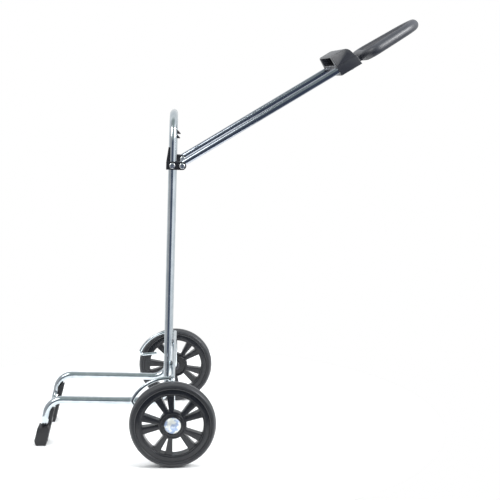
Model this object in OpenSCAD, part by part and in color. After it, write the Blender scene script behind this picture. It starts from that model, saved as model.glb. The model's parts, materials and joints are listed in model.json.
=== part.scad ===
// Folding trolley frame: two-wheeled platform cart with a folding handle.
// Millimetres, +Z up, -X is the platform (front) side, origin on the ground
// at the middle of the object's footprint box.

/* [Frame] */
// Outer diameter of the frame and platform tube
frame_tube_d = 14; // [12:0.5:16]
// Wall of the lower tube, which carries the load
lower_wall = 2.4; // [1.6:0.1:2.6]
// Wall of the upper tube
upper_wall = 1.5; // [1:0.1:2]
// Half distance between the two side tubes
half_span = 88; // [80:1:100]
// Backward lean of the whole L-shaped frame, degrees
lean = 1.6; // [0:0.1:4]
// Height of the platform tubes above the ground
platform_h = 82.7; // [78:0.5:90]
// Height of the seam between lower and upper tube
seam_h = 200; // [190:1:230]
// Height of the top of the inverted U, on the tube's centreline
top_h = 618; // [600:1:640]
// Forward reach of the platform, at the corner of the side tubes
platform_reach = 234.4; // [220:1:250]

/* [Wheels] */
// Wheel diameter
wheel_d = 155; // [150:1:160]
// Distance between the two wheels' middle planes
track = 420; // [410:1:440]
// Diameter of the cranked axle rod
axle_d = 8; // [7:0.5:9]
// Width of the tyre
tyre_w = 27; // [24:1:30]
// Diameter of the wheel guard wire
guard_d = 6; // [5:0.5:6.5]

/* [Handle] */
// Angle of the handle above the horizontal as drawn
arm_angle = 31; // [20:1:45]
// Outer diameter of the handle tubes
handle_tube_d = 12; // [11:0.5:13]
// Height of the pivot above the ground, along the frame
pivot_h = 527; // [500:1:535]
// Distance of the pivot behind the frame tube's centreline
pivot_back = 18; // [17.5:0.5:20]
// Diameter of the grip ring's section
grip_d = 20; // [18:1:22]
// Distance from the pivot to the far end of the grip ring's centreline
grip_reach = 505; // [490:1:510]

/* [Hidden] */
$fn = 64;

zinc = "lightsteelblue";
black = "#2a2b2e";
gap = 0.05;                                  // fit clearance within one body
tube_r = frame_tube_d / 2;
axle_r = axle_d / 2;
guard_r = guard_d / 2;
wheel_r = wheel_d / 2;

// frame tubes, in the frame's own upright coordinates
beam_h = 155;                                // height of the axle beam behind the tubes
post_x = -beam_h * sin(lean) - tube_r - axle_r;
platform_bend = 32;                          // bend between post and platform
nose_bend = 30;                              // bend at the front of the platform
nose_drop = 10.6;                            // nose tubes, degrees from vertical
nose_h = 30.2;                               // centre height of the front cross tube
corner_bend = 22;                            // bend into the front cross tube
top_bend = 52;
nose_x = -platform_reach - (platform_h - nose_h) * tan(nose_drop);
spigot_len = 24;
spigot_r = tube_r - lower_wall - gap;

// cranked axle
leg_y = 186;
beam_bend = 10;
stub_bend = 8;
stub_out = 9.5;                              // stub end beyond the wheel's middle plane

// wheel stations, measured outwards from the wheel's middle plane
hub_in = -13.5;
hub_face = 6;
hub_r = 23;
bush_flange = 1.5;
run = 0.3;                                   // free play between bodies
rim_r = 66.3;
bead_r = 65;
web_r = 57;
rim_w = 24;
web_w = 18;
window_in = 25;
window_out = 54.5;
spoke_pairs = 5;
pair_half = 19.4;                            // half angle covered by a pair of spokes
cap_r = 15;

// fold joint
eye_r = 7;
tube_lift = 3;                               // handle tube above the pivot, square to the arm
cheek_in = 7.35;
cheek_out = 10.5;
bracket_half = 7.5;
bracket_front = 11;
bolt_r = 3;
head_r = 5.3;
head_t = 2.2;
handle_r = handle_tube_d / 2;

// handle head, in arm coordinates: X along the arm from the pivot, Z square to it
head_s0 = 331;
head_s1 = 374;
head_bottom = -8.2;
head_split = 10;
head_top = 31;
head_half = 99;
sleeve_in = 78;
wall = 2;
slot_s = 362;
slot_low = 12.5;
slot_high = 28.5;
grip_r = grip_d / 2;
grip_wall = 2;
grip_n = -1;                                 // height of the ring's plane over the pivot
ring_s0 = 394;                               // centre of the ring's base bar
ring_half = 80;                              // half width at the base bar
ring_corner = 17;
ring_side = 24;                              // how much the sides close in, degrees

// footprint box and the shift that centres it
pivot_x = post_x * cos(lean) + pivot_back * cos(lean) + pivot_h * sin(lean);
pivot_z = pivot_h * cos(lean) - (post_x + pivot_back) * sin(lean);
foot_front = -261;
tip_x = pivot_x + grip_reach * cos(arm_angle) - grip_n * sin(arm_angle) + grip_r;
centre_x = (foot_front + tip_x) / 2;

// ---------- helpers ----------

function unit(v) = v / norm(v);

// Puts the children's X, Y and Z axes along a, b and c, at point p.
module axes_to(p, a, b, c) {
    multmatrix([
        [a.x, b.x, c.x, p.x],
        [a.y, b.y, c.y, p.y],
        [a.z, b.z, c.z, p.z],
        [0, 0, 0, 1]]) children();
}

function turn_between(a, b, c) = acos(unit(b - a) * unit(c - b));
function turn(p, i) = turn_between(p[i - 1], p[i], p[i + 1]);
function tangent(p, i, bends) =
    (i == 0 || i == len(p) - 1) ? 0 : bends[i - 1] * tan(turn(p, i) / 2);

// Bent length through the corner points p, one bend radius per inner corner.
// The 2D child is its section; it has to be round.
module bent(p, bends) {
    for (i = [0:len(p) - 2]) {
        d = unit(p[i + 1] - p[i]);
        a = p[i] + d * tangent(p, i, bends);
        b = p[i + 1] - d * tangent(p, i + 1, bends);
        if (norm(b - a) > 0.01)
            translate(a) rotate([0, acos(d.z), atan2(d.y, d.x)])
                linear_extrude(norm(b - a)) children();
    }
    for (i = [1:len(p) - 2]) {
        d = unit(p[i] - p[i - 1]);
        k = unit(cross(d, unit(p[i + 1] - p[i])));
        m = cross(k, d);
        s = p[i] - d * tangent(p, i, bends);
        axes_to(s + m * bends[i - 1], -m, d, k)
            rotate_extrude(angle = turn(p, i)) translate([bends[i - 1], 0]) children();
    }
}
module bent_rod(p, bends, r) bent(p, bends) circle(r = r);
module bent_tube(p, bends, r, wall) bent(p, bends) difference() {
    circle(r = r);
    circle(r = r - wall);
}

// Stations [point, direction] along a bent path, with the bends cut into steps.
bend_step = 9;
function stations(p, bends) = [
    [p[0], unit(p[1] - p[0])],
    for (i = [1:len(p) - 2])
        let (d = unit(p[i] - p[i - 1]), k = unit(cross(d, unit(p[i + 1] - p[i]))),
             m = cross(k, d), c = p[i] - d * tangent(p, i, bends) + m * bends[i - 1],
             n = ceil(turn(p, i) / bend_step))
        for (j = [0:n]) let (a = turn(p, i) * j / n)
            [c + bends[i - 1] * (d * sin(a) - m * cos(a)), d * cos(a) + m * sin(a)],
    [p[len(p) - 1], unit(p[len(p) - 1] - p[len(p) - 2])]];
// Side vector of each station, carried along without twist.
function carried(st, x0) = [
    for (i = 0, x = x0; i < len(st); i = i + 1,
         x = i < len(st) ? unit(x - st[i][1] * (x * st[i][1])) : x) x];
function ring_of(st, x, r, sides) = [
    for (j = [0:sides - 1]) st[0] + r * (x * cos(360 * j / sides)
        + cross(st[1], x) * sin(360 * j / sides))];

// Bent rod or tube swept as one closed shell; x0 is square to the first leg.
module swept(p, bends, r, bore = 0, x0 = [1, 0, 0], sides = 24) {
    st = stations(p, bends);
    x = carried(st, x0);
    n = len(st);
    half = n * sides;
    outer = [for (i = [0:n - 1]) each ring_of(st[i], x[i], r, sides)];
    inner = [for (i = [0:n - 1]) each ring_of(st[i], x[i], max(bore, 0.01), sides)];
    function at(i, j) = i * sides + (j % sides);
    skin = [for (i = [0:n - 2], j = [0:sides - 1])
        [at(i, j), at(i + 1, j), at(i + 1, j + 1), at(i, j + 1)]];
    if (bore == 0)
        polyhedron(outer, concat(skin, [
            [for (j = [0:sides - 1]) at(0, j)],
            [for (j = [0:sides - 1]) at(n - 1, sides - 1 - j)]]), convexity = 8);
    else
        polyhedron(concat(outer, inner), concat(skin,
            [for (q = skin) [for (k = [3:-1:0]) q[k] + half]],
            [for (j = [0:sides - 1])
                [at(0, j), at(0, j + 1), at(0, j + 1) + half, at(0, j) + half]],
            [for (j = [0:sides - 1]) [at(n - 1, j + 1), at(n - 1, j),
                at(n - 1, j) + half, at(n - 1, j + 1) + half]]), convexity = 8);
}

// Closed loop in the XY plane that turns left at every corner of p. The section is a
// closed outline: X points out of the loop and Y along +Z.
module closed_loop(p, bends, section) {
    n = len(p);
    st = [for (i = [0:n - 1])
        let (a = p[(i + n - 1) % n], b = p[i], c = p[(i + 1) % n],
             d = unit(b - a), out = [d.y, -d.x, 0], t = turn_between(a, b, c),
             hub = b - d * bends[i] * tan(t / 2) - out * bends[i], m = ceil(t / bend_step))
        for (j = [0:m]) let (q = t * j / m) [hub, out * cos(q) + d * sin(q), bends[i]]];
    k = len(section);
    points = [for (q = st, v = section) q[0] + q[1] * (q[2] + v.x) + [0, 0, v.y]];
    faces = [for (i = [0:len(st) - 1], j = [0:k - 1])
        let (i2 = (i + 1) % len(st), j2 = (j + 1) % k)
        [i * k + j, i * k + j2, i2 * k + j2, i2 * k + j]];
    polyhedron(points, faces, convexity = 8);
}

module ground_place() translate([-centre_x, 0, 0]) children();
module frame_place() ground_place() rotate([0, lean, 0]) children();
module arm_place() ground_place() translate([pivot_x, 0, pivot_z])
    rotate([0, -arm_angle, 0]) children();
// side = -1 for left, 1 for right; the children point outwards along +Z
module wheel_place(side) ground_place() translate([0, side * track / 2, wheel_r])
    rotate([side * -90, 0, 0]) children();

// ---------- frame ----------

lower_path = [
    [post_x, -half_span, seam_h], [post_x, -half_span, platform_h],
    [-platform_reach, -half_span, platform_h], [nose_x, -half_span, nose_h],
    [nose_x, half_span, nose_h], [-platform_reach, half_span, platform_h],
    [post_x, half_span, platform_h], [post_x, half_span, seam_h]];
lower_bends = [platform_bend, nose_bend, corner_bend, corner_bend, nose_bend, platform_bend];
upper_path = [
    [post_x, -half_span, seam_h], [post_x, -half_span, top_h],
    [post_x, half_span, top_h], [post_x, half_span, seam_h]];

rivet_r = 1.6;
module at_rivets() for (side = [-1, 1])
    translate([post_x, side * half_span, seam_h - spigot_len / 2])
        rotate([side * 90, 0, 0]) children();

module lower_frame_tube() color(zinc) frame_place() difference() {
    swept(lower_path, lower_bends, tube_r, tube_r - lower_wall);
    at_rivets() cylinder(r = rivet_r + gap, h = 12);
    for (y = foot_screw_y) translate([nose_x, y, 15]) cylinder(r = 1.95, h = nose_h - 15);
}

module upper_frame_tube() color(zinc) frame_place() difference() {
    union() {
        bent_tube(upper_path, [top_bend, top_bend], tube_r, upper_wall);
        for (y = [-half_span, half_span]) translate([post_x, y, seam_h - spigot_len])
            difference() {
                union() {
                    cylinder(r = spigot_r, h = spigot_len + 4);
                    translate([0, 0, spigot_len]) cylinder(r = tube_r - 0.5, h = 4);
                }
                translate([0, 0, -1]) cylinder(r = spigot_r - upper_wall, h = spigot_len + 8);
            }
    }
    at_rivets() cylinder(r = rivet_r + gap, h = 12);
    for (side = [-1, 1]) {
        translate([post_x, side * half_span, pivot_h])
            rotate([90, 0, 0]) cylinder(r = bolt_r + gap, h = 20, center = true);
        hook_place(side) cylinder(r = hook_stem_r + gap, h = 12, center = true);
    }
}

module joint_rivets() color(zinc) frame_place() at_rivets() {
    translate([0, 0, 2.5]) cylinder(r = rivet_r, h = tube_r - 2.3);
    translate([0, 0, tube_r + 0.1]) cylinder(r = 3.2, h = 1);
}

// ---------- axle, welds and guards ----------

axle_path = [
    [0, -track / 2 - stub_out, wheel_r], [0, -leg_y, wheel_r], [0, -leg_y, beam_h],
    [0, leg_y, beam_h], [0, leg_y, wheel_r], [0, track / 2 + stub_out, wheel_r]];

module axle_rod(extra = 0)
    bent_rod(axle_path, [stub_bend, beam_bend, beam_bend, stub_bend], axle_r + extra);

module cranked_axle() color(zinc) ground_place() axle_rod();

bead_r2 = 3;
module weld_beads() color("slategray") {
    difference() {
        ground_place()
            for (side = [-1, 1], up = [-1, 1])
                translate([-axle_r - 0.6, side * half_span, beam_h + up * (axle_r + 0.2)])
                    rotate([90, 0, 0]) cylinder(r = bead_r2, h = 8, center = true);
        ground_place() axle_rod(0.01);
        frame_place()
            for (side = [-1, 1])
                translate([post_x, side * half_span, 100]) cylinder(r = tube_r + 0.01, h = 100);
    }
    ground_place() difference() {
        for (side = [-1, 1]) translate([-axle_r - 2.4, side * guard_y, guard_top])
            rotate([0, 90, 0]) cylinder(r = guard_r + 1.6, h = 4);
        for (side = [-1, 1]) translate([-20, side * guard_y, guard_top])
            rotate([0, 90, 0]) cylinder(r = guard_r + 0.02, h = 40);
        axle_rod(0.01);
    }
}

guard_y = 184;
guard_top = beam_h - 0.5;
guard_lead = 4;                              // straight stub in front of the axle rod
guard_arc = 72;                              // the wire follows the tyre's outline
guard_turn = 62;
guard_hook = 6.5;
guard_hook_turn = 124;
guard_end = 27;
function heading(a) = [-cos(a), 0, -sin(a)];
guard_start = [-axle_r - gap, 0, guard_top];
guard_a = guard_start + heading(0) * (guard_lead + guard_arc * tan(guard_turn / 2));
guard_b = guard_a + heading(guard_turn)
    * (guard_arc * tan(guard_turn / 2) + guard_hook * tan(guard_hook_turn / 2) + 1);
guard_c = guard_b + heading(guard_turn + guard_hook_turn)
    * (guard_hook * tan(guard_hook_turn / 2) + guard_end);

module wheel_guard(side) color(zinc) ground_place() translate([0, side * guard_y, 0])
    swept([guard_start, guard_a, guard_b, guard_c], [guard_arc, guard_hook], guard_r,
        x0 = [0, 1, 0], sides = 16);
module wheel_guard_left() wheel_guard(-1);
module wheel_guard_right() wheel_guard(1);

// ---------- feet ----------

foot_in = 56;
foot_out = 92;
foot_slant = 13.8;
foot_screw_y = [-61, 61];
foot_rib_top = 72;
foot_sole_back = -240;
rib_in = 79;                                 // the rib behind the nose tube is slimmer
nose_x_at = nose_x * cos(lean) + nose_h * sin(lean);   // on the ground axes
seat_r = tube_r + 0.1;

module foot(side) color(black) difference() {
    ground_place() translate([0, side * (foot_in + foot_out) / 2, 0]) rotate([90, 0, 0])
        linear_extrude(foot_out - foot_in, center = true)
            polygon([
                [foot_front + 4.5, 0], [foot_sole_back, 0],
                [foot_sole_back + foot_rib_top * tan(foot_slant), foot_rib_top],
                [nose_x_at + 8, foot_rib_top], [nose_x_at, 34],
                [foot_front + 6, 34], [foot_front, 9.5], [foot_front + 1.2, 3.5],
                [foot_front + 2.5, 1.2]]);
    ground_place() translate([-300, side * (foot_in + rib_in) / 2, 96])
        cube([160, rib_in - foot_in + 0.01, 100], center = true);
    // seats of the nose tube, its two bends and the cross tube
    frame_place() {
        translate([nose_x, side * half_span, nose_h]) rotate([0, nose_drop, 0])
            translate([0, 0, corner_bend]) cylinder(r = seat_r, h = 50);
        translate([nose_x, side * (half_span - corner_bend), nose_h])
            rotate([side * 90, 0, 0]) cylinder(r = seat_r, h = 60);
        translate([nose_x, side * (half_span - corner_bend), nose_h])
            rotate([0, nose_drop, 0]) translate([0, 0, corner_bend]) rotate([0, 90, 0])
                rotate_extrude() translate([corner_bend, 0]) circle(r = seat_r);
        nose_bend_seat(side);
        // the cross tube drops in from above
        translate([nose_x - seat_r, side * (half_span - corner_bend) - 40, nose_h])
            cube([2 * seat_r, 80, 60]);
        translate([nose_x, side * foot_screw_y[1], -20]) {
            cylinder(r = 1.95, h = 50);
            cylinder(r = 4.2, h = 30);
        }
    }
}
module nose_bend_seat(side) {
    t = nose_bend * tan((90 - nose_drop) / 2);
    translate([-platform_reach + t, side * half_span, platform_h - nose_bend])
        rotate([90, 0, 0]) rotate_extrude() translate([nose_bend, 0]) circle(r = seat_r);
}
module foot_left() foot(-1);
module foot_right() foot(1);

module foot_screws() color(zinc) frame_place()
    for (y = foot_screw_y) translate([nose_x, y, 0]) {
        translate([0, 0, 9.8]) cylinder(r = 1.85, h = 16);
        difference() {
            translate([0, 0, 7.5]) cylinder(r = 3.8, h = 2.4);
            translate([0, 0, 7]) cylinder(r = 1.9, h = 2, $fn = 6);
        }
    }

// ---------- fold joint ----------

module joint_place(side) frame_place() translate([post_x, side * half_span, pivot_h])
    children();
// bolt stations on a bracket: the frame bolt and the pivot
function station(k) = [k * pivot_back, 0, 0];

module fold_bracket(side) color(black) joint_place(side) difference() {
    union() {
        translate([-bracket_front, -cheek_out, -bracket_half])
            cube([bracket_front + pivot_back, 2 * cheek_out, 2 * bracket_half]);
        translate(station(1)) rotate([90, 0, 0])
            cylinder(r = bracket_half, h = 2 * cheek_out, center = true);
        rotate([90, 0, 0]) linear_extrude(11, center = true)
            polygon([[-bracket_front, 7], [-7.4, 33], [-4.5, 33], [-4.5, 7]]);
    }
    translate([0, 0, -20]) cylinder(r = tube_r + gap, h = 60);
    translate([0, -cheek_in, -20]) cube([60, 2 * cheek_in, 60]);
    for (k = [0, 1]) translate(station(k)) rotate([90, 0, 0])
        cylinder(r = bolt_r + gap, h = 60, center = true);
}
module fold_bracket_left() fold_bracket(-1);
module fold_bracket_right() fold_bracket(1);

// Sleeve nut with a flat domed head on the outer cheek, reaching into the inner one.
module sleeve_nut() difference() {
    union() {
        translate([0, 0, cheek_out]) intersection() {
            cylinder(r = head_r, h = head_t);
            translate([0, 0, head_t - 12]) sphere(r = 12);
        }
        translate([0, 0, -cheek_out + 0.6]) cylinder(r = bolt_r, h = 2 * cheek_out - 0.6);
    }
    translate([0, 0, cheek_out + head_t - 1.7]) cylinder(r = 2.9, h = 3, $fn = 6);
    translate([0, 0, -cheek_out]) cylinder(r = 2, h = 13);
}
module joint_bolt() difference() {
    union() {
        translate([0, 0, -cheek_out - head_t]) intersection() {
            cylinder(r = head_r, h = head_t);
            translate([0, 0, 12]) sphere(r = 12);
        }
        translate([0, 0, -cheek_out]) cylinder(r = 1.95, h = 12);
    }
    translate([0, 0, -cheek_out - head_t - 1]) cylinder(r = 2.9, h = 2.7, $fn = 6);
}
module at_stations(k) for (side = [-1, 1]) joint_place(side) translate(station(k))
    rotate([side * -90, 0, 0]) children();
module bracket_nuts() color("silver") at_stations(0) sleeve_nut();
module bracket_bolts() color("silver") at_stations(0) joint_bolt();
module pivot_nuts() color("silver") at_stations(1) sleeve_nut();
module pivot_bolts() color("silver") at_stations(1) joint_bolt();

// ---------- bag hooks ----------

hook_h = 579;
hook_stem_r = 2.5;
hook_low = -3.2;
hook_high = 4.6;
hook_pad = 4.6;
// at the inner side of the tube, +Z pointing inwards, +X to the rear
module hook_place(side) translate([post_x, side * (half_span - tube_r - 0.7), hook_h])
    rotate([side * 90, 0, 0]) children();

module bag_hook(side) color(black) frame_place() difference() {
    hook_place(side) {
        translate([0, 0, -4]) cylinder(r = hook_stem_r, h = 5);
        linear_extrude(hook_pad) mirror([0, side < 0 ? 1 : 0, 0])
            polygon([[-5, hook_low], [13, hook_low], [13, hook_low + 1.2],
                     [6.6, hook_high], [-5, hook_high]]);
    }
    difference() {
        bent_rod(upper_path, [top_bend, top_bend], tube_r + gap);
        hook_place(side) cylinder(r = hook_stem_r, h = 20, center = true);
    }
}
module bag_hook_left() bag_hook(-1);
module bag_hook_right() bag_hook(1);

// ---------- wheels ----------

module wheel_body_ring() rotate_extrude(angle = 360) difference() {
    translate([web_r - 3, -rim_w / 2]) square([rim_r - web_r + 3, rim_w]);
    translate([bead_r, -rim_w / 2 + 2]) square([4, rim_w - 4]);
    for (s = [-1, 1]) translate([web_r - 4, s * (rim_w / 2 - 1.5) - 3 + s * 3])
        square([4, 6]);
}
// window between two pairs of spokes: radial sides, round inner and outer edge
module window_shape() intersection() {
    difference() {
        circle(r = window_out);
        circle(r = window_in);
    }
    half = 180 / spoke_pairs - pair_half;
    polygon([[0, 0], for (a = [-half, 0, half]) 90 * [cos(a), sin(a)]]);
}
// slot between the two spokes of a pair, widening outwards
module slot_shape() intersection() {
    circle(r = window_out);
    polygon([[window_in + 1, -1], [60, -6], [60, 6], [window_in + 1, 1]]);
}

module rim(side, first) color(black) wheel_place(side) difference() {
    union() {
        wheel_body_ring();
        cylinder(r = web_r - 1, h = web_w, center = true);
        translate([0, 0, hub_in]) cylinder(r = hub_r, h = hub_face + 5 - hub_in);
    }
    for (i = [0:spoke_pairs - 1]) rotate([0, 0, first + i * 360 / spoke_pairs]) {
        rotate([0, 0, 180 / spoke_pairs]) linear_extrude(40, center = true) window_shape();
        linear_extrude(40, center = true) slot_shape();
    }
    cylinder(r = 6.55, h = 60, center = true);
    translate([0, 0, hub_face]) cylinder(r = cap_r + gap, h = 20);
    for (z = [hub_in - 1, web_w / 2 + 0.8]) translate([0, 0, z]) difference() {
        cylinder(r = 21, h = z < 0 ? 6 : 4);
        cylinder(r = z < 0 ? 10 : 18.5, h = 20, center = true);
    }
}
// outline of the tyre: flat seat, straight flanks, crowned tread
module tyre(side) color("#3c3d40") wheel_place(side) rotate_extrude(angle = 360)
    difference() {
        intersection() {
            translate([bead_r + gap, -tyre_w / 2]) square([20, tyre_w]);
            translate([wheel_r - 28, 0]) circle(r = 28);
        }
        for (s = [-1, 1]) translate([bead_r - 2, s * (rim_w / 2 + 1) - 3.1])
            square([rim_r - bead_r + 2 + gap, 6.2]);
    }
module bush() {
    difference() {
        union() {
            cylinder(r = 6.5, h = 9);
            translate([0, 0, -bush_flange]) cylinder(r = 8, h = bush_flange);
        }
        cylinder(r = axle_r + gap, h = 60, center = true);
    }
}
module wheel_bushes(side) color("ivory") wheel_place(side) {
    translate([0, 0, hub_in]) bush();
    translate([0, 0, hub_face]) mirror([0, 0, 1]) bush();
}
cap_dome = 26;
module hub_cap(side) color("gainsboro") wheel_place(side) difference() {
    intersection() {
        translate([0, 0, hub_face + 0.1]) cylinder(r = cap_r, h = 8.5);
        translate([0, 0, hub_face + 8.6 - cap_dome]) sphere(r = cap_dome);
    }
    intersection() {
        translate([0, 0, hub_face - 1]) cylinder(r = cap_r - 1, h = 9);
        translate([0, 0, hub_face + 7.6 - cap_dome]) sphere(r = cap_dome);
    }
}
module rim_left() rim(-1, 34);
module rim_right() rim(1, 28);
module tyre_left() tyre(-1);
module tyre_right() tyre(1);
module wheel_bushes_left() wheel_bushes(-1);
module wheel_bushes_right() wheel_bushes(1);
module hub_cap_left() hub_cap(-1);
module hub_cap_right() hub_cap(1);

module axle_washers() color(zinc) for (side = [-1, 1]) wheel_place(side)
    translate([0, 0, hub_in - bush_flange - run - 0.9]) difference() {
        cylinder(r = 8, h = 0.9);
        cylinder(r = axle_r + gap, h = 4, center = true);
    }
module axle_push_nuts() color(zinc) for (side = [-1, 1]) wheel_place(side)
    translate([0, 0, hub_face + bush_flange + run]) difference() {
        union() {
            cylinder(r = 8.5, h = 0.9);
            cylinder(r = 6, h = 1.5);
        }
        cylinder(r = axle_r + gap / 5, h = 8, center = true);
    }

// ---------- handle ----------

module handle_tube(side) color("#8d939c") arm_place() translate([0, side * half_span, 0])
    difference() {
        union() {
            translate([0, 0, tube_lift]) rotate([0, 90, 0])
                cylinder(r = handle_r, h = tube_end);
            rotate([90, 0, 0]) cylinder(r = eye_r, h = 2 * handle_r, center = true);
        }
        translate([14, 0, tube_lift]) rotate([0, 90, 0])
            cylinder(r = handle_r - handle_wall, h = tube_end);
        rotate([90, 0, 0]) cylinder(r = 4.55, h = 40, center = true);
        translate([355, 0, 0]) cylinder(r = 1.7, h = 40, center = true);
    }
handle_wall = 0.8;
tube_end = 364;
module handle_tube_left() handle_tube(-1);
module handle_tube_right() handle_tube(1);

// flanged bushes pressed into both ends of the eye
module pivot_bushes() color("ivory") arm_place() for (side = [-1, 1], s = [-1, 1])
    translate([0, side * half_span + s * handle_r, 0]) rotate([s * -90, 0, 0]) difference() {
        union() {
            translate([0, 0, 0.02]) cylinder(r = 6.6, h = 1);
            translate([0, 0, 0.2 - handle_r]) cylinder(r = 4.5, h = handle_r);
        }
        cylinder(r = bolt_r + gap, h = 40, center = true);
    }

// Lower half of the handle head: an open tray with the two sleeves.
corner_screw_s = 355;
neck_screw_s = 366;
neck_screw_y = [-46, 46];
module crosspiece() color(black) arm_place() difference() {
    head_block(head_bottom, head_split);
    translate([head_s0 + wall, -sleeve_in + wall, head_bottom + wall])
        cube([head_s1 - head_s0 - 2 * wall, 2 * (sleeve_in - wall), 40]);
    for (side = [-1, 1])
        translate([head_s0 - 10, side * half_span, tube_lift]) rotate([0, 90, 0])
            cylinder(r = handle_r + gap, h = tube_end - head_s0 + 10.5);
    for (y = [-half_span, half_span]) screw_seat([corner_screw_s, y, head_bottom]);
    for (y = neck_screw_y) screw_seat([neck_screw_s, y, head_bottom]);
    // openings for the necks of the grip
    for (y = neck_y)
        translate([head_s1 - 6, y - neck_w / 2 - gap, grip_n - neck_t - gap])
            cube([10, neck_w + 2 * gap, 2 * (neck_t + gap)]);
}
module screw_seat(p) translate(p + [0, 0, -1]) {
    cylinder(r = 1.6, h = 30);
    cylinder(r = 3.4, h = 2.2);
}
// side outline of the handle head, cut to a band of heights
module head_block(low, high) intersection() {
    rotate([90, 0, 0]) linear_extrude(2 * head_half, center = true)
        polygon([
            [head_s0, head_bottom], [head_s1, head_bottom], [head_s1 - 1, 5],
            [head_s1 - 5.5, 18], [head_s1 - 7.2, 23], [head_s1 - 9.5, 27],
            [head_s1 - 12.7, 29.8], [head_s1 - 17, head_top], [head_s0 + 3, head_top],
            [head_s0 + 0.9, 30.1], [head_s0, 28]]);
    translate([head_s0 - 10, -150, low]) cube([80, 300, high - low]);
}
// Upper half: a hook with a wide mouth that drops over a cart's rail.
module rail_hook() color(black) arm_place() difference() {
    head_block(head_split + gap, head_top + 1);
    translate([head_s0 - 5, -sleeve_in, slot_low])
        cube([slot_s - head_s0 + 5, 2 * sleeve_in, slot_high - slot_low]);
    translate([slot_s + wall, -sleeve_in, head_split - 1])
        cube([30, 2 * sleeve_in, 16.5]);
    for (y = [-half_span, half_span]) {
        difference() {
            translate([head_s0 + wall + 1, y - (y > 0 ? 8.5 : 5.5), head_split - 1])
                cube([26, 14, 18]);
            translate([corner_screw_s, y, 0]) cylinder(r = 4.2, h = 40);
        }
        translate([corner_screw_s, y, 0]) cylinder(r = 1.6, h = 16);
    }
    // shallow wedge-shaped panel in each end
    rotate([90, 0, 0]) for (side = [-1, 1])
        translate([0, 0, side * head_half]) linear_extrude(6, center = true)
            polygon([[334, 11.5], [358.5, 22.5], [357.5, 25.5], [354.5, 28.2], [334, 28.2]]);
}
module crosspiece_screws() color("silver") arm_place() {
    for (y = [-half_span, half_span]) head_screw([corner_screw_s, y, head_bottom], 22);
    for (y = neck_screw_y) head_screw([neck_screw_s, y, head_bottom], 10);
}
module head_screw(p, length) translate(p) {
    translate([0, 0, -0.9]) difference() {
        cylinder(r = 3.2, h = 2);
        translate([0, 0, -1]) cylinder(r = 1.5, h = 2, $fn = 6);
    }
    translate([0, 0, 1]) cylinder(r = 1.5, h = length);
}

// Grip ring: a closed loop with a base bar, two sides closing in and a round tip.
ring_apex = ring_s0 + ring_half / tan(ring_side);
tip_bend = (ring_apex - grip_reach) / (1 / sin(ring_side) - 1);
ring_path = [[ring_s0, -ring_half, grip_n], [ring_apex, 0, grip_n],
             [ring_s0, ring_half, grip_n]];
ring_bends = [ring_corner, tip_bend, ring_corner];
neck_y = [-46, -17, 17, 46];
neck_w = 9;
neck_t = 5;
neck_s0 = 361;                               // the tongues' ends inside the head
ring_screw_y = [-31, 0, 31];
boss_r = 3.4;
arc_steps = 12;

// half of the hollow section, above (up = 1) or below (up = -1) the parting plane
function half_arc(r, a0, a1) = [for (i = [0:arc_steps])
    let (a = a0 + (a1 - a0) * i / arc_steps) [r * cos(a), r * sin(a)]];
function half_section(up) =
    let (c = asin(gap / 2 / grip_r), r2 = grip_r - grip_wall, c2 = asin(gap / 2 / r2))
    up > 0 ? concat(half_arc(grip_r, c, 180 - c), half_arc(r2, 180 - c2, c2))
           : concat(half_arc(grip_r, 180 + c, 360 - c), half_arc(r2, 360 - c2, 180 + c2));

module grip_shell(up) color(black) arm_place() difference() {
    union() {
        closed_loop(ring_path, ring_bends, half_section(up));
        for (y = neck_y) translate([neck_s0, y - neck_w / 2,
                                    grip_n + (up > 0 ? gap / 2 : -neck_t)])
            cube([ring_s0 - grip_r + 1.6 - neck_s0, neck_w, neck_t - gap / 2]);
        for (y = ring_screw_y)
            translate([ring_s0, y, grip_n + (up > 0 ? gap / 2 : -grip_r + 1)])
                cylinder(r = boss_r, h = grip_r - 1 - gap / 2);
    }
    for (y = ring_screw_y) translate([ring_s0, y, grip_n]) {
        translate([0, 0, -30]) cylinder(r = 1.6, h = 30 + grip_r - 3);
        translate([0, 0, -grip_r - 10]) cylinder(r = 3.1, h = 12);
    }
    for (y = neck_screw_y) translate([neck_screw_s, y, -20]) cylinder(r = 1.6, h = 30);
}
module grip_upper_shell() grip_shell(1);
module grip_lower_shell() grip_shell(-1);
module grip_screws() color("silver") arm_place() for (y = ring_screw_y)
    translate([ring_s0, y, grip_n - grip_r + 0.5]) {
        difference() {
            cylinder(r = 2.9, h = 1.4);
            translate([0, 0, -1]) cylinder(r = 1.3, h = 1.8, $fn = 6);
        }
        translate([0, 0, 1]) cylinder(r = 1.5, h = 14);
    }

lower_frame_tube();
upper_frame_tube();
joint_rivets();
cranked_axle();
weld_beads();
wheel_guard_left();
wheel_guard_right();
foot_left();
foot_right();
foot_screws();
fold_bracket_left();
fold_bracket_right();
bracket_nuts();
bracket_bolts();
pivot_nuts();
pivot_bolts();
bag_hook_left();
bag_hook_right();
axle_washers();
axle_push_nuts();
rim_left();
tyre_left();
wheel_bushes_left();
hub_cap_left();
rim_right();
tyre_right();
wheel_bushes_right();
hub_cap_right();
handle_tube_left();
handle_tube_right();
pivot_bushes();
crosspiece();
rail_hook();
crosspiece_screws();
grip_upper_shell();
grip_lower_shell();
grip_screws();
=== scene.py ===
"""Folding platform cart: bent tube frame, cranked axle, two wheels and a folding handle.

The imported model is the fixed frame. The sections follow the cart as it is put together;
each one gives a piece its shape, its finish and the body that it moves with.
"""

import json
import math

import bmesh
import bpy
from mathutils import Matrix, Vector


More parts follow.
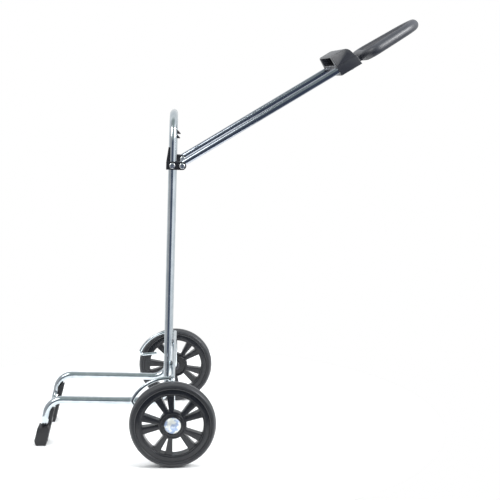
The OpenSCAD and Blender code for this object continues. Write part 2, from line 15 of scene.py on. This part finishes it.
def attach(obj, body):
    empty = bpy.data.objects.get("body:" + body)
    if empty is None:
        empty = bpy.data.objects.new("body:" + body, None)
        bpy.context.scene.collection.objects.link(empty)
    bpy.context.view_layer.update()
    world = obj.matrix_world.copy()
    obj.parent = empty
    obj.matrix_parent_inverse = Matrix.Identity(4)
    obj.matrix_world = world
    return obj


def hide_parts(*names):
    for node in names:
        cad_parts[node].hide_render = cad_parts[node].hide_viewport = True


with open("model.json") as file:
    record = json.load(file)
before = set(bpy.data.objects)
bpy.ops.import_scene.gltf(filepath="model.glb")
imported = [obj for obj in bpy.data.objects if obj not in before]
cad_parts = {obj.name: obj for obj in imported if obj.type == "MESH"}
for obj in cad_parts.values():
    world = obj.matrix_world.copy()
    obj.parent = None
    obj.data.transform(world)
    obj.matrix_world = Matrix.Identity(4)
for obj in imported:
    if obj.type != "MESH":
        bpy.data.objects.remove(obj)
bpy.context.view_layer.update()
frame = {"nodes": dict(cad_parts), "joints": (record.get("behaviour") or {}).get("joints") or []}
joints = {joint["name"]: joint for joint in frame["joints"]}
axle = Vector(joints["wheel_left_spin"]["pos_m"])
axle.y = 0
pivot = Vector(joints["handle_fold"]["pos_m"])

# ---------------------------------------------------------------- studio
# A small round floor, three soft lights and a painted room: bright on the right and
# behind, grey on the left and overhead, dim in front. The plated tubes mirror the room,
# and the camera itself sees plain white.


class Signal:
    """A value on its way through one node tree; arithmetic on it adds Math nodes."""

    def __init__(self, tree, socket):
        self.tree = tree
        self.socket = socket

    def math(self, operation, first, second):
        return self.tree.node(
            "ShaderNodeMath", {"operation": operation}, {0: first, 1: second}
        )

    def __add__(self, other):
        return self.math("ADD", self, other)

    __radd__ = __add__

    def __mul__(self, other):
        return self.math("MULTIPLY", self, other)

    __rmul__ = __mul__


class Nodes:
    """One node tree, emptied, with the few makers that the finishes share."""

    def __init__(self, node_tree):
        self.nodes = node_tree.nodes
        self.links = node_tree.links
        self.nodes.clear()

    def node(self, kind, settings=None, inputs=None, output=0):
        made = self.nodes.new(kind)
        for key, value in (settings or {}).items():
            setattr(made, key, value)
        for key, value in (inputs or {}).items():
            if isinstance(value, Signal):
                self.links.new(value.socket, made.inputs[key])
            else:
                made.inputs[key].default_value = value
        return Signal(self, made.outputs[output]) if len(made.outputs) else None

    def noise(self, place, scale, detail):
        return self.node(
            "ShaderNodeTexNoise", None, {"Vector": place, "Scale": scale, "Detail": detail}
        )

    def rise(self, value, low, high):
        """0 below low, 1 above high, and smooth between them; low may be the larger."""
        return self.node(
            "ShaderNodeMapRange",
            {"interpolation_type": "SMOOTHSTEP"},
            {"Value": value, "From Min": low, "From Max": high},
        )

    def mix(self, mask, first, second):
        return self.node(
            "ShaderNodeMix",
            {"data_type": "RGBA"},
            {0: mask, 6: first, 7: second},
            output=2,
        )

    def parts(self, vector):
        made = self.nodes.new("ShaderNodeSeparateXYZ")
        self.links.new(vector.socket, made.inputs[0])
        return [Signal(self, made.outputs[i]) for i in range(3)]


WHITE = (1, 1, 1, 1)
FRONT_DIM, OVERHEAD_GREY = (0.09, 0.11, 0.16, 1), (0.36, 0.41, 0.40, 1)
RIGHT_BRIGHT, LEFT_GREY = (1.0, 1.03, 1.06, 1), (0.46, 0.46, 0.47, 1)
BEHIND_PALE = (0.80, 0.82, 0.83, 1)
world = bpy.data.worlds.new("studio")
world.use_nodes = True
bpy.context.scene.world = world
room = Nodes(world.node_tree)
right, away, up = room.parts(room.node("ShaderNodeTexCoord", output="Generated"))
glow = room.mix(room.rise(up, low=0.10, high=0.34), FRONT_DIM, OVERHEAD_GREY)
panel = room.rise(right, low=0.42, high=0.68) * room.rise(up, low=-0.34, high=-0.20)
glow = room.mix(panel, glow, RIGHT_BRIGHT)
glow = room.mix(room.rise(right, low=-0.40, high=-0.62), glow, LEFT_GREY)
glow = room.mix(room.rise(away, low=0.0, high=0.4), glow, BEHIND_PALE)
glow = room.node("ShaderNodeBackground", None, {"Color": glow, "Strength": 1.0})
paper = room.node("ShaderNodeBackground", None, {"Color": WHITE, "Strength": 1.0})
seen = room.node("ShaderNodeLightPath", output="Is Camera Ray")
shown = room.node("ShaderNodeMixShader", None, {0: seen, 1: glow, 2: paper})
room.node("ShaderNodeOutputWorld", None, {"Surface": shown})


class Finish(Nodes):
    """A procedural material: a Principled shader whose inputs a pattern can feed."""

    def __init__(self, name):
        self.material = bpy.data.materials.new(name)
        self.material.use_nodes = True
        super().__init__(self.material.node_tree)
        self.place = self.node("ShaderNodeTexCoord", output="Object")

    def bumped(self, height, distance, strength):
        return self.node(
            "ShaderNodeBump",
            None,
            {"Height": height, "Distance": distance, "Strength": strength},
        )

    def done(self, **inputs):
        sockets = {key.replace("_", " "): value for key, value in inputs.items()}
        surface = self.node("ShaderNodeBsdfPrincipled", None, sockets)
        self.node("ShaderNodeOutputMaterial", None, {"Surface": surface})
        return self.material


FLOOR_RADIUS, FLOOR_CENTRE = 0.56, (-0.12, 0.08, 0)
floor_mesh = bmesh.new()
bmesh.ops.create_circle(
    floor_mesh,
    cap_ends=True,
    segments=128,
    radius=FLOOR_RADIUS,
    matrix=Matrix.Translation(FLOOR_CENTRE),
)
floor_data = bpy.data.meshes.new("floor")
floor_mesh.to_mesh(floor_data)
floor_mesh.free()
floor = bpy.data.objects.new("floor", floor_data)
bpy.context.scene.collection.objects.link(floor)
floor_finish = Finish("white_floor")
floor_cloud = floor_finish.noise(floor_finish.place, scale=3.0, detail=2.0)
floor_tone = floor_finish.mix(floor_cloud, (0.90, 0.90, 0.91, 1), (0.93, 0.93, 0.93, 1))
floor_data.materials.append(floor_finish.done(Base_Color=floor_tone, Roughness=0.55))


def softbox(name, place, target, size, power, mirrored=True):
    light = bpy.data.lights.new(name, "AREA")
    light.shape = "RECTANGLE"
    light.size, light.size_y = size
    light.energy = power
    lamp = bpy.data.objects.new(name, light)
    lamp.location = place
    lamp.rotation_mode = "QUATERNION"
    lamp.rotation_quaternion = (Vector(target) - Vector(place)).to_track_quat("-Z", "Y")
    lamp.visible_glossy = mirrored
    bpy.context.scene.collection.objects.link(lamp)


softbox("overhead", (0.1, 0.3, 3.0), (0, 0, 0.3), size=(3.0, 3.0), power=88, mirrored=False)
softbox("key", (-1.7, -1.5, 2.2), (0, 0, 0.35), size=(1.0, 1.4), power=26)
softbox("fill", (1.9, -0.9, 1.7), (0.2, 0, 0.55), size=(0.8, 1.0), power=60)

# A long lens a little over two metres away, about level with the handle's head.
LENS, SENSOR = 80.64, 36
CAMERA_PLACE = (axle.x + 0.030, -2.131, 0.688)
TURN, TILT, ROLL = math.radians(-3.14), math.radians(8.81), math.radians(0.37)
camera_data = bpy.data.cameras.new("camera")
camera_data.lens = LENS
camera_data.sensor_width = SENSOR
camera = bpy.data.objects.new("camera", camera_data)
level = Vector((math.cos(TURN), math.sin(TURN), 0))
ahead = Vector((-level.y * math.cos(TILT), level.x * math.cos(TILT), -math.sin(TILT)))
above = level.cross(ahead)
across = math.cos(ROLL) * level + math.sin(ROLL) * above
above = math.cos(ROLL) * above - math.sin(ROLL) * level
view_axes = Matrix((across, above, -ahead)).transposed().to_4x4()
camera.matrix_world = Matrix.Translation(CAMERA_PLACE) @ view_axes
bpy.context.scene.collection.objects.link(camera)
bpy.context.scene.camera = camera
bpy.context.scene.view_settings.view_transform = "Standard"


# ---------------------------------------------------------------- frame tubes
# Two lengths of 14 mm steel tube with bright zinc plate, bent cold. The lower one makes
# the platform loop; the upper one is an inverted U that plugs into it.
MM = 0.001
TUBE, SPAN = 7.0 * MM, 88.0 * MM
SEAM, TOP = 200 * MM, 618 * MM
# The uprights lean back, and pass 11 mm in front of the axle at the cranked rod's height.
LEAN = math.radians(1.6)
ROD_HEIGHT, ROD_OFFSET = 155, 11
POST = -(ROD_HEIGHT * math.sin(LEAN) + ROD_OFFSET) * MM
BEND_STEP = 5
frame_axes = Matrix.Translation((axle.x, 0, 0)) @ Matrix.Rotation(LEAN, 4, "Y")


def bent_tube(path, bends, radius, axes, lip, sides=44):
    """A ring of points extruded along each straight and spun round each bend, with a
    chamfer of lip at both ends."""
    path = [axes @ Vector(point) for point in path]
    heading = (path[1] - path[0]).normalized()
    facing = heading.to_track_quat("Z", "Y").to_matrix().to_4x4()
    tube = bmesh.new()
    bmesh.ops.create_circle(
        tube,
        segments=sides,
        radius=radius - lip,
        matrix=Matrix.Translation(path[0]) @ facing,
    )
    start = list(tube.edges)
    ring = start
    place = path[0].copy()

    def straight(length, growth=1.0):
        nonlocal ring, place
        made = bmesh.ops.extrude_edge_only(tube, edges=ring)["geom"]
        points = [item for item in made if isinstance(item, bmesh.types.BMVert)]
        ring = [
            item
            for item in made
            if isinstance(item, bmesh.types.BMEdge)
            and all(point in points for point in item.verts)
        ]
        bmesh.ops.translate(tube, verts=points, vec=heading * length)
        place += heading * length
        if growth != 1.0:
            around = Matrix.Translation(-place)
            bmesh.ops.scale(tube, verts=points, vec=(growth,) * 3, space=around)

    straight(lip, radius / (radius - lip))
    for corner, after, bend in zip(path[1:-1], path[2:], bends):
        turned = (after - corner).normalized()
        angle = heading.angle(turned)
        straight((corner - place).length - bend * math.tan(angle / 2))
        axis = heading.cross(turned).normalized()
        last = bmesh.ops.spin(
            tube,
            geom=ring,
            cent=place + axis.cross(heading) * bend,
            axis=axis,
            angle=angle,
            steps=max(4, round(math.degrees(angle) / BEND_STEP)),
        )["geom_last"]
        ring = [item for item in last if isinstance(item, bmesh.types.BMEdge)]
        place = corner + turned * bend * math.tan(angle / 2)
        heading = turned
    straight((path[-1] - place).length - lip)
    straight(lip, (radius - lip) / radius)
    bmesh.ops.contextual_create(tube, geom=start)
    bmesh.ops.contextual_create(tube, geom=ring)
    bmesh.ops.recalc_face_normals(tube, faces=tube.faces)
    return tube


def fit(name, shape, material, body, slot, *nodes, crease=32):
    """Puts a made shape in the scene in place of its nodes, riding on their body."""
    data = bpy.data.meshes.new(name)
    shape.to_mesh(data)
    shape.free()
    if "custom_normal" in data.attributes:
        data.attributes.remove(data.attributes["custom_normal"])
    data.shade_smooth()
    data.set_sharp_from_angle(angle=math.radians(crease))
    data.materials.append(material)
    piece = bpy.data.objects.new(name, data)
    bpy.context.scene.collection.objects.link(piece)
    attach(piece, body)
    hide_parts(*nodes)


def zinc_plate(name, deep, pale, smooth, cloud_size=60, metal=1.0, patches=(0.1, 0.9)):
    """Bare or plated metal: broad pale patches over the deep tone, and a fine grain."""
    plate = Finish(name)
    cloud = plate.noise(plate.place, scale=cloud_size, detail=4)
    grain = plate.noise(plate.place, scale=1400, detail=3)
    return plate.done(
        Base_Color=plate.mix(plate.rise(cloud, *patches), deep, pale),
        Metallic=metal,
        Roughness=smooth + cloud * 0.1 + grain * 0.06,
        Normal=plate.bumped(grain + cloud * 3.0, distance=0.00001, strength=0.5),
    )


zinc = zinc_plate("zinc_plate", (0.50, 0.56, 0.60, 1), (0.72, 0.77, 0.80, 1), 0.07)
PLATFORM, NOSE = 82.7 * MM, 30.2 * MM
REACH = -234.4 * MM
NOSE_SLOPE = math.radians(10.6)
NOSE_X = REACH - (PLATFORM - NOSE) * math.tan(NOSE_SLOPE)
KNEE, DROP, CORNER, CROWN = 32 * MM, 30 * MM, 22 * MM, 52 * MM
lower_half = [(POST, SEAM), (POST, PLATFORM), (REACH, PLATFORM), (NOSE_X, NOSE)]
lower_path = [(x, -SPAN, z) for x, z in lower_half] + [
    (x, SPAN, z) for x, z in reversed(lower_half)
]
lower_bends = [KNEE, DROP, CORNER, CORNER, DROP, KNEE]
lower_tube = bent_tube(lower_path, lower_bends, TUBE, frame_axes, lip=0.5 * MM)
fit("platform_tube", lower_tube, zinc, "frame", "zinc_steel", "lower_frame_tube")
upper_path = [(POST, -SPAN, SEAM), (POST, -SPAN, TOP), (POST, SPAN, TOP), (POST, SPAN, SEAM)]
upper_tube = bent_tube(upper_path, [CROWN, CROWN], TUBE, frame_axes, lip=0.5 * MM)
fit("upright_tube", upper_tube, zinc, "frame", "zinc_steel", "upper_frame_tube")

# ---------------------------------------------------------------- joint rivets
# One domed steel rivet on each outer side, through the lower tube into the spigot. Its
# shape, like most that follow, is the CAD node with its corners rounded.


def clean_copy(node):
    """The node's shape as one clean mesh, without the lines inside its flat faces."""
    shape = bmesh.new()
    shape.from_mesh(frame["nodes"][node].data)
    bmesh.ops.remove_doubles(shape, verts=shape.verts, dist=3e-6)
    bmesh.ops.dissolve_limit(
        shape, angle_limit=math.radians(0.5), verts=shape.verts, edges=shape.edges
    )
    return shape


def rounded(shape, edge, segments=2, corner=30):
    """The same shape with its hard corners rounded over by edge."""
    hard = [
        side
        for side in shape.edges
        if side.is_convex and side.calc_face_angle(0) > math.radians(corner)
    ]
    bmesh.ops.bevel(
        shape,
        geom=hard,
        offset=edge,
        offset_type="OFFSET",
        affect="EDGES",
        segments=segments,
        profile=0.5,
        material=-1,
        clamp_overlap=False,
    )
    return shape


steel = zinc_plate("bright_steel", (0.60, 0.63, 0.66, 1), (0.80, 0.82, 0.83, 1), 0.18)
rivets = rounded(clean_copy("joint_rivets"), edge=0.3 * MM, segments=3)
fit("seam_rivets", rivets, steel, "frame", "zinc_steel", "joint_rivets")

# ---------------------------------------------------------------- axle
# An 8 mm zinc plated steel rod, cranked down at both ends to the wheels and welded
# behind the tubes.
AXLE = 4.0 * MM
BEAM, LEG = ROD_HEIGHT * MM, 186 * MM
STUB = 219.5 * MM
CRANK, ELBOW = 10 * MM, 8 * MM
axle_axes = Matrix.Translation((axle.x, 0, 0))
axle_half = [(-STUB, axle.z), (-LEG, axle.z), (-LEG, BEAM)]
axle_path = [(0, y, z) for y, z in axle_half] + [(0, -y, z) for y, z in reversed(axle_half)]
axle_bends = [ELBOW, CRANK, CRANK, ELBOW]
axle_rod = bent_tube(axle_path, axle_bends, AXLE, axle_axes, lip=0.6 * MM, sides=32)
fit("cranked_rod", axle_rod, zinc, "frame", "zinc_steel", "cranked_axle")
weld_metal = zinc_plate(
    "weld_metal", (0.30, 0.31, 0.33, 1), (0.52, 0.54, 0.56, 1), 0.34, cloud_size=900
)
fit("weld_seams", clean_copy("weld_beads"), weld_metal, "frame", "weld", "weld_beads")

# ---------------------------------------------------------------- wheel guards
# A 6 mm zinc plated wire beside each tyre, welded to the axle's crank. It follows the
# tyre forward and down, and its end is turned back into a hook.
WIRE = 3.0 * MM
GUARD_X, GUARD_Y, GUARD_Z = -4.05 * MM, 184 * MM, 154.5 * MM
GUARD_LEAD, GUARD_ARC, GUARD_TURN = 4 * MM, 72 * MM, math.radians(62)
HOOK_LEAD, HOOK_BEND, HOOK_TURN, HOOK_TAIL = 1 * MM, 6.5 * MM, math.radians(124), 27 * MM


def along(angle):
    """The direction that lies angle below straight ahead."""
    return Vector((-math.cos(angle), 0, -math.sin(angle)))


guard_reach = GUARD_ARC * math.tan(GUARD_TURN / 2)
hook_reach = HOOK_BEND * math.tan(HOOK_TURN / 2)
guard_path = [Vector((GUARD_X, 0, GUARD_Z))]
guard_path.append(guard_path[0] + along(0) * (GUARD_LEAD + guard_reach))
guard_path.append(guard_path[1] + along(GUARD_TURN) * (guard_reach + hook_reach + HOOK_LEAD))
guard_path.append(guard_path[2] + along(GUARD_TURN + HOOK_TURN) * (hook_reach + HOOK_TAIL))
guard_bends = [GUARD_ARC, HOOK_BEND]
for side, y in (("left", -GUARD_Y), ("right", GUARD_Y)):
    guard_axes = Matrix.Translation((axle.x, y, 0))
    wire = bent_tube(guard_path, guard_bends, WIRE, guard_axes, lip=0.8 * MM, sides=28)
    fit(f"{side}_guard_wire", wire, zinc, "frame", "zinc_steel", f"wheel_guard_{side}")

# ---------------------------------------------------------------- feet
# Black moulded plastic blocks pushed up under the platform's front bends, each held by
# one steel screw from below.


def moulded(name, deep, pale, smooth, grain_size=1500, grain_depth=0.00002, shine=0.5):
    """Moulded plastic or rubber: a fine matt grain, with a slow change of tone."""
    plastic = Finish(name)
    cloud = plastic.noise(plastic.place, scale=35, detail=3)
    grain = plastic.noise(plastic.place, scale=grain_size, detail=2)
    return plastic.done(
        Base_Color=plastic.mix(cloud, deep, pale),
        Specular_IOR_Level=shine,
        Roughness=smooth + grain * 0.12 + cloud * 0.06,
        Normal=plastic.bumped(grain, grain_depth, strength=0.6),
    )


foot_black = moulded("foot_plastic", (0.010, 0.010, 0.012, 1), (0.018, 0.019, 0.022, 1), 0.42)
for side in ("left", "right"):
    foot = rounded(clean_copy(f"foot_{side}"), edge=0.4 * MM, corner=60)
    fit(f"{side}_foot", foot, foot_black, "frame", "foot_plastic", f"foot_{side}")
screws = rounded(clean_copy("foot_screws"), edge=0.2 * MM)
fit("foot_fixings", screws, steel, "frame", "fastener_steel", "foot_screws")

# ---------------------------------------------------------------- fold brackets
# Black moulded clips round the uprights, with a tongue in front and two cheeks behind.
# A sleeve nut and bolt ties each to its tube, and a second pair is the handle's pivot.
fitting_black = moulded(
    "fitting_plastic", (0.010, 0.010, 0.013, 1), (0.018, 0.019, 0.024, 1), 0.30
)
for side in ("left", "right"):
    node = f"fold_bracket_{side}"
    clip = rounded(clean_copy(node), edge=0.7 * MM, segments=3)
    fit(f"{side}_fold_clip", clip, fitting_black, "frame", "fitting_plastic", node)
for node in ("bracket_nuts", "bracket_bolts", "pivot_nuts", "pivot_bolts"):
    turned = rounded(clean_copy(node), edge=0.25 * MM)
    fit(f"{node}_turned", turned, steel, "frame", "fastener_steel", node)

# ---------------------------------------------------------------- bag hooks
# A small wedge of the same black plastic on each upright, plugged into the tube, for a
# bag's loop.
for side in ("left", "right"):
    node = f"bag_hook_{side}"
    wedge = rounded(clean_copy(node), edge=0.35 * MM)
    fit(f"{side}_bag_hook", wedge, fitting_black, "frame", "fitting_plastic", node)

# ---------------------------------------------------------------- wheel rims
# Black moulded rims with five pairs of spokes, turning on flanged nylon bushes.
rim_black = moulded("rim_plastic", (0.008, 0.009, 0.011, 1), (0.014, 0.015, 0.019, 1), 0.16)
nylon = moulded("nylon", (0.66, 0.65, 0.61, 1), (0.74, 0.73, 0.70, 1), 0.4)
for side in ("left", "right"):
    body = f"wheel_{side}"
    rim = rounded(clean_copy(f"rim_{side}"), edge=0.9 * MM, segments=3)
    fit(f"{side}_rim", rim, rim_black, body, "rim_plastic", f"rim_{side}")
    bushes = rounded(clean_copy(f"wheel_bushes_{side}"), edge=0.2 * MM)
    fit(f"{side}_hub_bushes", bushes, nylon, body, "bush_plastic", f"wheel_bushes_{side}")

# ---------------------------------------------------------------- tyres
# Dark grey rubber rings with a lip over the rim, a moulded line round each sidewall and
# two shallow grooves in the tread.
HALF_TRACK = 210 * MM
# Half of the section: how far it lies from the wheel's middle and from the axle, in mm.
HALF_SECTION = [
    (9.9, 65.1),
    (9.9, 66.4),
    (12.5, 66.4),
    (13.1, 66.9),
    (13.3, 68.3),
    (12.3, 68.9),
    (12.3, 69.8),
    (13.4, 70.5),
    (13.5, 71.6),
    (13.4, 72.9),
    (13.0, 73.9),
    (12.2, 74.5),
    (10.6, 75.3),
    (8.0, 76.3),
    (6.3, 76.7),
    (6.0, 75.8),
    (5.0, 75.8),
    (4.7, 77.05),
    (2.0, 77.4),
]
rubber = moulded("tyre_rubber", (0.024, 0.025, 0.028, 1), (0.038, 0.039, 0.044, 1), 0.26)
TREAD_TOP = (0, 77.5)
tyre_section = HALF_SECTION + [TREAD_TOP] + [(-y, r) for y, r in reversed(HALF_SECTION)]
for side, hub_y in (("left", -HALF_TRACK), ("right", HALF_TRACK)):
    hub = Vector((axle.x, hub_y, axle.z))
    tyre = bmesh.new()
    points = [tyre.verts.new(hub + Vector((0, y * MM, r * MM))) for y, r in tyre_section]
    outline = [tyre.edges.new(pair) for pair in zip(points, points[1:] + points[:1])]
    bmesh.ops.spin(
        tyre,
        geom=points + outline,
        cent=hub,
        axis=(0, 1, 0),
        angle=math.tau,
        steps=192,
        use_merge=True,
    )
    bmesh.ops.recalc_face_normals(tyre, faces=tyre.faces)
    fit(f"{side}_tyre", tyre, rubber, f"wheel_{side}", "tyre", f"tyre_{side}", crease=50)

# ---------------------------------------------------------------- axle ends
# A steel washer on the inner side of each wheel and a push nut on the rod's end. The
# domed zinc plated cap over the nut turns with the wheel.
cap_zinc = zinc_plate(
    "cap_zinc",
    (0.36, 0.46, 0.66, 1),
    (0.86, 0.88, 0.84, 1),
    0.30,
    cloud_size=110,
    metal=0.55,
    patches=(0.42, 0.58),
)
dark_steel = zinc_plate("dark_steel", (0.05, 0.05, 0.06, 1), (0.10, 0.10, 0.11, 1), 0.3)
for node in ("axle_washers", "axle_push_nuts"):
    fit(f"{node}_pressed", clean_copy(node), dark_steel, "frame", "fastener_steel", node)
for side in ("left", "right"):
    cap = rounded(clean_copy(f"hub_cap_{side}"), edge=0.2 * MM)
    fit(f"{side}_hub_cap", cap, cap_zinc, f"wheel_{side}", "cap_steel", f"hub_cap_{side}")

# ---------------------------------------------------------------- handle tubes
# Two 12 mm aluminium tubes with a bright finish, a shade darker, and flanged nylon bushes
# pressed into the eyes that the pivots pass through.
handle_plate = zinc_plate("handle_plate", (0.32, 0.35, 0.40, 1), (0.44, 0.47, 0.52, 1), 0.06)
for side in ("left", "right"):
    node = f"handle_tube_{side}"
    arm = clean_copy(node)
    fit(f"{side}_handle_tube", arm, handle_plate, "handle", "handle_aluminium", node)
bushes = rounded(clean_copy("pivot_bushes"), edge=0.15 * MM)
fit("eye_bushes", bushes, nylon, "handle", "bush_plastic", "pivot_bushes")

# ---------------------------------------------------------------- handle head
# A lower tray that sleeves the tube ends and an upper hook with a wide mouth, both of
# black plastic and screwed together from below.
head_black = moulded(
    "head_plastic", (0.020, 0.021, 0.027, 1), (0.030, 0.032, 0.041, 1), 0.28, shine=0.9
)
tray = rounded(clean_copy("crosspiece"), edge=0.7 * MM, segments=3)
fit("head_tray", tray, head_black, "handle", "head_plastic", "crosspiece")
# The panel in each end becomes one flat facet that falls back towards the head's top. It
# goes through three points, in mm along, across and square to the raised handle.
RISE = math.radians(31)
END, PANEL = 99 * MM, 96 * MM
FACET = ((331, 99, 10), (359, 99, 22.6), (331, 90.5, 31))
arm_axes = Matrix.Translation(pivot) @ Matrix.Rotation(-RISE, 4, "Y")
hook = clean_copy("rail_hook")
for point in hook.verts:
    if abs(abs(point.co.y) - PANEL) < 0.2 * MM:
        point.co.y = math.copysign(END, point.co.y)
bmesh.ops.remove_doubles(hook, verts=hook.verts, dist=0.05 * MM)
for way in (-1, 1):
    low, far, back = (arm_axes @ Vector((x * MM, way * y * MM, z * MM)) for x, y, z in FACET)
    cut = bmesh.ops.bisect_plane(
        hook,
        geom=hook.verts[:] + hook.edges[:] + hook.faces[:],
        plane_co=low,
        plane_no=(far - low).cross(back - low) * -way,
        clear_outer=True,
    )["geom_cut"]
    rim_edges = [item for item in cut if isinstance(item, bmesh.types.BMEdge)]
    bmesh.ops.contextual_create(hook, geom=rim_edges)
bmesh.ops.recalc_face_normals(hook, faces=hook.faces)
hook = rounded(hook, edge=0.7 * MM, segments=3)
fit("head_hook", hook, head_black, "handle", "head_plastic", "rail_hook", crease=23)
screws = rounded(clean_copy("crosspiece_screws"), edge=0.2 * MM)
fit("head_screws", screws, steel, "handle", "fastener_steel", "crosspiece_screws")

# ---------------------------------------------------------------- grip
# A rounded triangular ring in two moulded halves, split along its middle and screwed
# from below; four flat necks run from its base bar into the head.
grip_black = moulded(
    "grip_plastic",
    (0.020, 0.022, 0.030, 1),
    (0.030, 0.033, 0.044, 1),
    0.36,
    grain_size=900,
    grain_depth=0.000005,
    shine=1.0,
)
for half in ("upper", "lower"):
    node = f"grip_{half}_shell"
    shell = clean_copy(node)
    fit(f"grip_{half}_half", shell, grip_black, "handle", "grip_plastic", node, crease=40)
screws = rounded(clean_copy("grip_screws"), edge=0.15 * MM)
fit("grip_fixings", screws, steel, "handle", "fastener_steel", "grip_screws")
